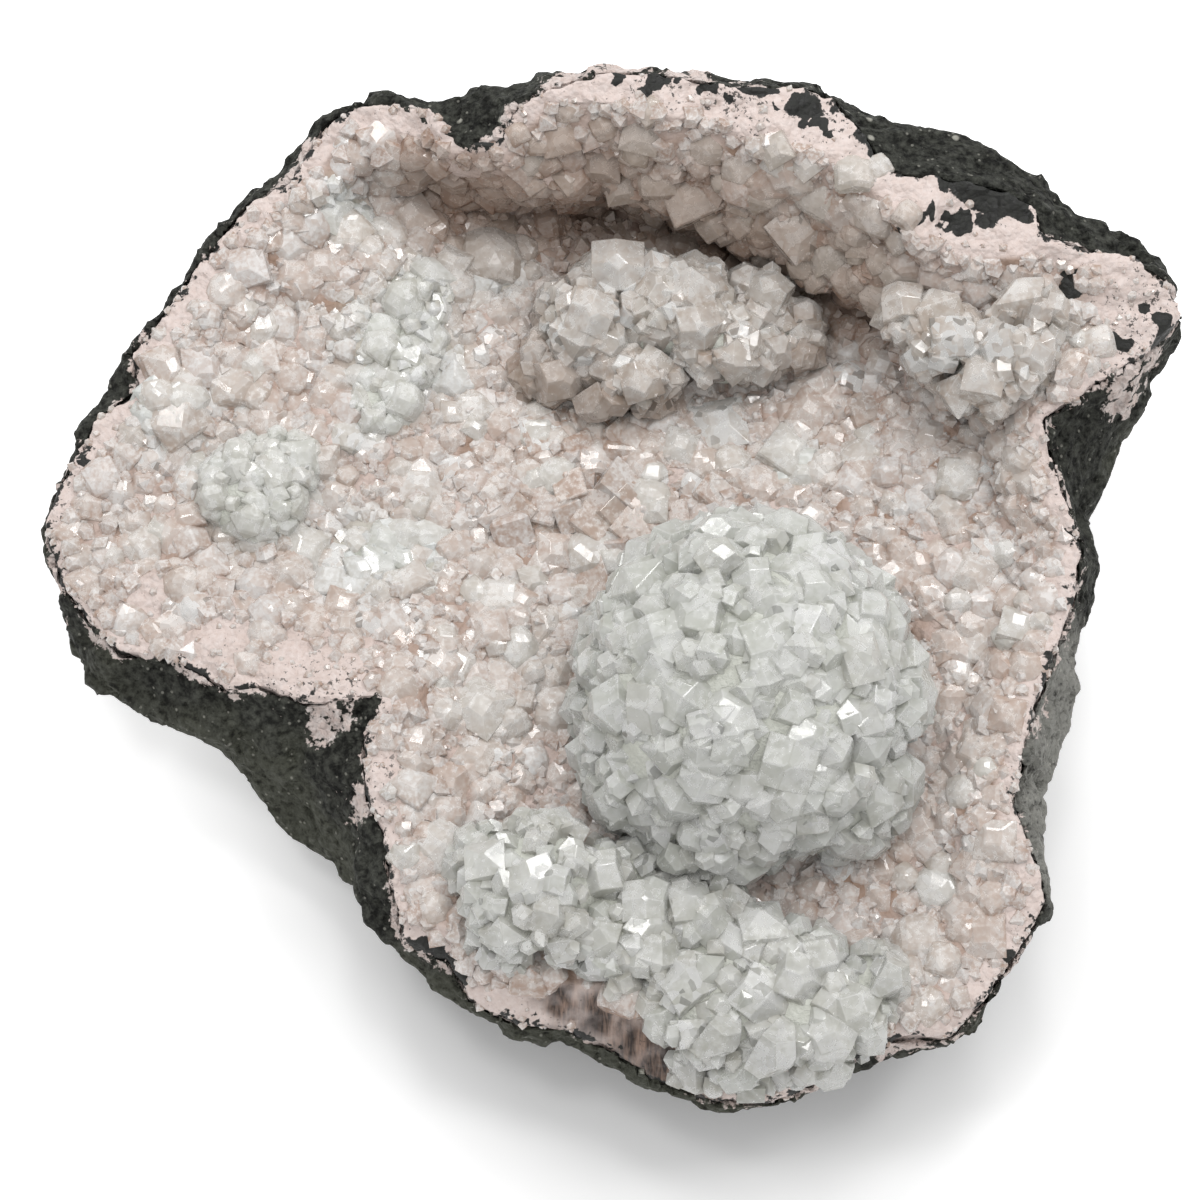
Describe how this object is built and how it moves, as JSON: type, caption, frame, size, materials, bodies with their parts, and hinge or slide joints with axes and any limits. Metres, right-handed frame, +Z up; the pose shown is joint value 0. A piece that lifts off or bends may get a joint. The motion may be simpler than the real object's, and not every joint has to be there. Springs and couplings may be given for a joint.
{
  "type": "apophyllite geode",
  "caption": "Open basalt geode half lined with a pink crystal crust, carrying a round ball and smaller clusters of clear, pale green crystals.",
  "frame": {"origin": "middle of the whole block's box, at the height of the flat that it rests on", "axes": "+Z up out of the hollow; +X along the longest side, to the right when the low lip of the hollow faces the viewer; +Y towards the high side of the rim"},
  "size_m": [0.2521, 0.2282, 0.0826],
  "materials": {
    "basalt": "dull, dark grey-green fracture faces with small pits and white specks",
    "pink_crust": "pale pink, sugary crystals, partly see-through",
    "apophyllite": "milky to clear, pale green-grey, glassy faces"
  },
  "bodies": {
    "root": {"basalt_matrix": "basalt", "crystal_crust": "pink_crust", "apophyllite_ball": "apophyllite", "upper_cluster": "apophyllite", "right_cluster": "apophyllite", "front_cluster": "apophyllite"}
  },
  "joints": []
}
